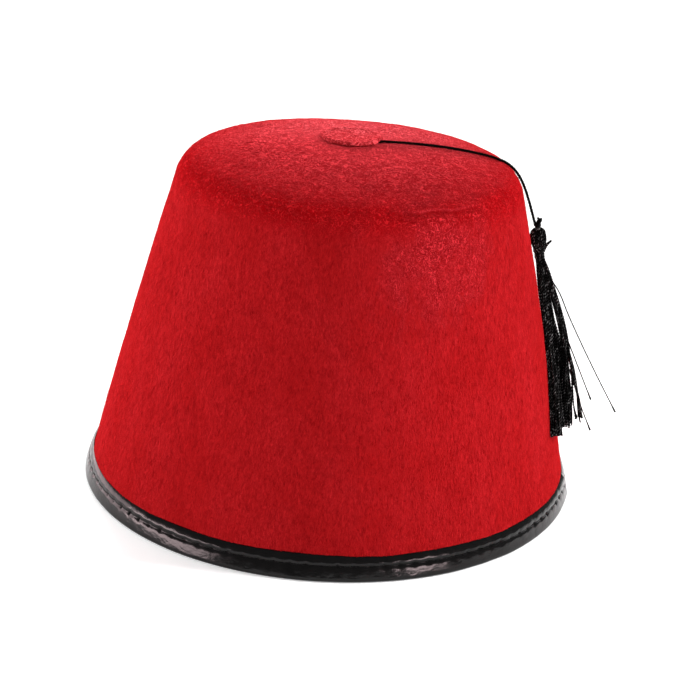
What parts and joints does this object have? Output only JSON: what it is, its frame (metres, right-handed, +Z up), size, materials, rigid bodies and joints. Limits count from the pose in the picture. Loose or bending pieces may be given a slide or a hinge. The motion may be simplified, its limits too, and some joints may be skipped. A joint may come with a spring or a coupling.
{
  "type": "fez hat",
  "caption": "Stiff felt fez shaped as a truncated cone with a low domed top, a tape-bound rim, a felt button and a tassel on a twisted cord, standing on its rim.",
  "frame": {"origin": "middle of the rim, on the surface that the hat stands on", "axes": "+Z up along the crown's axis; the head's long axis runs along Y with the front at -Y; the tassel hangs 32 degrees round from +X towards +Y"},
  "size_m": [0.1872, 0.1958, 0.1363],
  "materials": {
    "red_felt": "matte pressed felt with short surface fibres",
    "black_vinyl_tape": "glossy, puckered along its stitching",
    "black_thread": "twisted lustrous thread"
  },
  "bodies": {
    "root": {"crown": "red_felt", "rim_binding": "black_vinyl_tape", "top_button": "red_felt", "tassel_cord": "black_thread", "cord_knot": "black_thread", "tassel": "black_thread", "neck_tie": "black_thread"}
  },
  "joints": []
}
